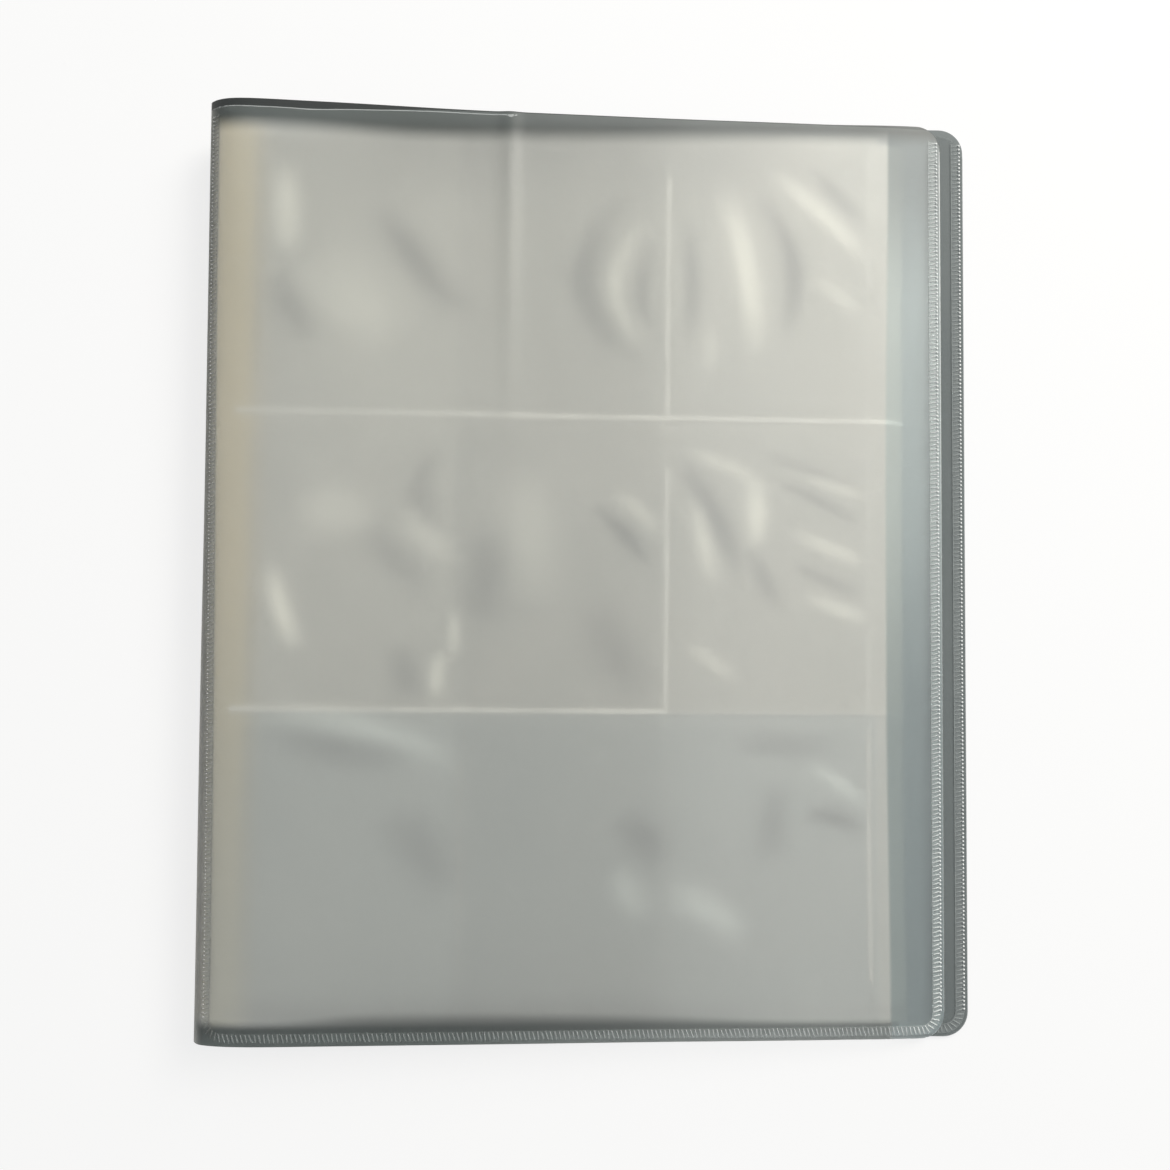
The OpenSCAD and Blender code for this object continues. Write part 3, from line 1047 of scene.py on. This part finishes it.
def leaf_surface(leaf):
    """Makes the place for a flat piece of one leaf."""
    pivot = axis_of(f"leaf_{leaf:02d}_turn")
    _, slope = leaf_reach(leaf)
    along = Vector((math.cos(slope), -math.sin(slope)))
    out = Vector((math.sin(slope), math.cos(slope)))
    share = (LEAF_COUNT - leaf) / (LEAF_COUNT - 1)
    root = ROOT_ROOM if leaf <= LEAVES_AT_FOLD else 0

    def place(u, y, lift):
        u += root * (1 - share_of_height(y)) * (1 - smooth(u / ROOT_REACH))
        slow = wave(u, y, 48, 62, 1.3) + 0.4 * wave(u, y, 19, 27, 5.1)
        height = STACK_WAVE * share * slow * smooth(u / STACK_WAVE_START)
        if leaf == 1:
            height += between(u, CREASE_DEPTH * creased(u, y))
        at = pivot + along * u * (1 + LEAF_BULGE * (y / leaf_head) ** 4) + out * (lift + height)
        return Vector((at.x, y, at.y))
    return place


# %% [markdown]
# ## The layers of a leaf
# Each layer has a builder, and all builders take the same four values, so one loop makes them
# all. The first and last leaves and those of the middle spread can be seen, so their grid is
# finer than that of the others.

# %% Leaf pieces
POCKET_GAP = 0.04
POCKET_W = 66
POCKET_H = 95
BIND_MARGIN = 13.6
FOOT_MARGIN = 2
SEAL_W = 1.6
SEAL_T = 0.10
SEAL_LIFT = 0.09
MOUTH_H = 4
DIVIDER_DROP = 16
VENT = 0.4
COLUMNS = ROWS = 3
FINE_LEAVES = {1: 1.5, 8: 4.0, 9: 4.0, 16: 4.0}
COARSE = 8.0
FIRST_LEAF_SHORT = 2.6
LOWER_LEAVES_DROP = 2.5
FOOT_LONG = 2.2
SEAL_START = 7
strip_reach = SEAL_W / 2 + VENT


def patch(bm, left, right, foot, head, spacing):
    """Adds a flat rectangle of small squares."""
    across = max(1, round((right - left) / spacing))
    up = max(1, round((head - foot) / spacing))
    size = Matrix.Diagonal((right - left, head - foot, 1, 1))
    at = Matrix.Translation(((left + right) / 2, (foot + head) / 2, 0))
    bmesh.ops.create_grid(bm, x_segments=across, y_segments=up, size=0.5, matrix=at @ size)


def raise_by(place, lift):
    return lambda u, y, z: place(u, y, z + lift)


def backing(bm, right, head, spacing):
    patch(bm, 0, right, leaf_foot - FOOT_LONG, head, spacing)


def pocket_strips(bm, right, head, spacing):
    left = BIND_MARGIN - strip_reach
    last_seal = BIND_MARGIN + COLUMNS * POCKET_W
    for row in range(ROWS):
        foot = leaf_foot + FOOT_MARGIN + row * POCKET_H - strip_reach
        patch(bm, left, last_seal + strip_reach, foot, foot + POCKET_H - MOUTH_H, spacing)


def heat_seals(bm, right, head, spacing):
    half = SEAL_W / 2
    drops = [MOUTH_H + strip_reach, DIVIDER_DROP, DIVIDER_DROP, MOUTH_H + strip_reach]
    for row in range(ROWS):
        foot = leaf_foot + FOOT_MARGIN + row * POCKET_H
        patch(bm, SEAL_START, right, foot - half, foot + half, spacing)
        for column, drop in enumerate(drops):
            seal = BIND_MARGIN + column * POCKET_W
            patch(bm, seal - half, seal + half, foot + half, foot + POCKET_H - drop, spacing)


def fused(u, y):
    """How well the seals took: well along the rows, and unevenly between the pockets."""
    row = (y - leaf_foot - FOOT_MARGIN) / POCKET_H
    column = round((u - BIND_MARGIN) / POCKET_W)
    if row < 0.1:
        return 0.1
    if abs(row - round(row)) * POCKET_H < SEAL_W:
        return 1.0 if u < BIND_MARGIN + 2 * POCKET_W or row > 1.5 else 0.5
    return [0.1, 0.3, 0.8 if row > 1 else 0.15, 0.6][column]


LAYERS = [
    ("backing", "backing_film", backing, FILM_T, 0.0, PAGE, "leaf_film"),
    ("pockets", "pocket_strips", pocket_strips, FILM_T, FILM_T + POCKET_GAP, POCKET, "pocket_film"),
    ("seals", "heat_seals", heat_seals, SEAL_T, SEAL_LIFT, SEAL, "heat_seal"),
]
TOP_FILMS = {"backing": TOP_PAGE, "pockets": TOP_POCKET}
for leaf in range(1, LEAF_COUNT + 1):
    surface = leaf_surface(leaf)
    spacing = FINE_LEAVES.get(leaf, COARSE)
    right = leaf_w - (FIRST_LEAF_SHORT if leaf == 1 else 0)
    head = leaf_head - (0 if leaf == 1 else LOWER_LEAVES_DROP)
    for node, name, build, thickness, lift, material, slot in LAYERS:
        bm = bmesh.new()
        build(bm, right, head, spacing)
        thicken(bm, thickness)
        if node == "seals":
            mark(bm, "fused", fused)
        elif leaf == 1:
            # The crease value stored here paints highlight and shade into the film's colour.
            mark(bm, "crease", creased)
        lay(bm, raise_by(surface, lift))
        if leaf == 1:
            material = TOP_FILMS.get(node, material)
        piece = make_piece(f"leaf_{leaf:02d}_{name}", bm, material)
        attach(piece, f"leaf_{leaf:02d}")
        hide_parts(f"leaf_{leaf:02d}_{node}")

# %% [markdown]
# ## The binding strip
# A tan strip inside the spine holds the leaf margins. The swollen spine would cut through a
# straight bar, so the strip is a flat sheet too, bent along the same line as the jacket.

# %% Binding strip
STRIP_T = 0.8
STRIP_MARGIN = 1.0
STRIP_SHORT = 2.4

bm = flat_sheet(STRIP_MARGIN - spine_w, -STRIP_SHORT, leaf_foot, leaf_head)
cut_grid(bm, steps(STRIP_MARGIN - spine_w, -STRIP_SHORT, 1), steps(leaf_foot, leaf_head, 6))
thicken(bm, STRIP_T)
lay(bm, raise_by(on_front, -(SHEET_T + STRIP_T) / 2))
strip = make_piece("spine_strip", bm, BINDING)
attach(strip, "spine")
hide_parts("binding_strip")

# %% [markdown]
# ## Floor and light
# Light comes from a large soft window up and to the right of the page, with a pale room
# around it. The sheets bend light, and light found by chance through them is grainy, so most
# of it comes from the room. The floor is shown paler to the camera but keeps its shadow.

# %% Floor
FLOOR_SIZE = 6
FLOOR_DROP = 0.2
FLOOR_PALER = 0.75


def shown_ray(tree):
    """1 for rays that make a picture of what they hit: direct, mirrored or seen through."""
    kinds = ["Is Camera Ray", "Is Glossy Ray", "Is Transmission Ray"]
    rays = [Wire.node(tree, "ShaderNodeLightPath", output=kind) for kind in kinds]
    return rays[0].larger(rays[1]).larger(rays[2])


floor_mesh = bpy.data.meshes.new("floor")
bm = bmesh.new()
bmesh.ops.create_grid(bm, x_segments=1, y_segments=1, size=FLOOR_SIZE)
bm.to_mesh(floor_mesh)
bm.free()
floor = bpy.data.objects.new("floor", floor_mesh)
floor.location.z = -FLOOR_DROP * MM
bpy.context.scene.collection.objects.link(floor)
floor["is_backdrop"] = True

floor_finish = bpy.data.materials.new("floor")
floor_finish.use_nodes = True
tree = floor_finish.node_tree
tree.nodes.clear()
sees = shown_ray(tree)
card = Wire.node(tree, "ShaderNodeBsdfDiffuse", None, {"Color": (0.88, 0.88, 0.88, 1)})
glow = Wire.node(tree, "ShaderNodeEmission", None, {"Color": (1, 1, 1, 1), "Strength": 1.0})
shown = Wire.node(tree, "ShaderNodeMixShader", None, {0: FLOOR_PALER * sees, 1: card, 2: glow})
surface_out = tree.nodes.new("ShaderNodeOutputMaterial")
tree.links.new(shown.socket, surface_out.inputs["Surface"])
floor_mesh.materials.append(floor_finish)

# %% Light
WINDOW_AT = Vector((760, 880, 880)) * MM
WINDOW_SIDE = 0.68
WINDOW_WATTS = 19.0
ROOM_LOW, ROOM_HIGH = 0.34, 0.56
BRIGHT_SIDE = 0.45, 0.45, 0.77

window = bpy.data.lights.new("window", "AREA")
window.shape = "SQUARE"
window.size = WINDOW_SIDE
window.energy = WINDOW_WATTS
window.color = (1.0, 0.965, 0.89)
lamp = bpy.data.objects.new("window", window)
lamp.location = WINDOW_AT
lamp.rotation_euler = (-WINDOW_AT).to_track_quat("-Z", "Y").to_euler()
bpy.context.scene.collection.objects.link(lamp)

room = bpy.data.worlds.new("room")
room.use_nodes = True
bpy.context.scene.world = room
tree = room.node_tree
tree.nodes.clear()
direction = Wire.node(tree, "ShaderNodeTexCoord", output="Generated")
facing = Wire.node(tree, "ShaderNodeVectorMath", {"operation": "DOT_PRODUCT"},
                   {0: direction, 1: BRIGHT_SIDE}, output="Value")
level = ROOM_LOW + (ROOM_HIGH - ROOM_LOW) * facing.ramp(-0.2, 1.0)
sees = shown_ray(tree)
strength = level * (1 - sees) + sees
glow = Wire.node(tree, "ShaderNodeBackground", None,
                 {"Color": (0.97, 0.99, 1.0, 1), "Strength": strength})
room_out = tree.nodes.new("ShaderNodeOutputWorld")
tree.links.new(glow.socket, room_out.inputs["Surface"])
bpy.context.scene.view_settings.view_transform = "Standard"
print("light", window.energy, "W from", [round(part, 2) for part in WINDOW_AT])

# %% [markdown]
# ## Sizes
# Both boxes, the solids' and the dressed album's, are gathered, and the size of the dressed one
# is printed. The dressed album has to stay in the solids' box, apart from the little that soft
# sheet may stand proud.

# %% Finish
boxes = {"cad": [list(corner) for corner in cad_box], "visual": [list(corner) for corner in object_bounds()]}
print("visual box", [round((b - a) / MM, 2) for a, b in zip(*boxes["visual"])])
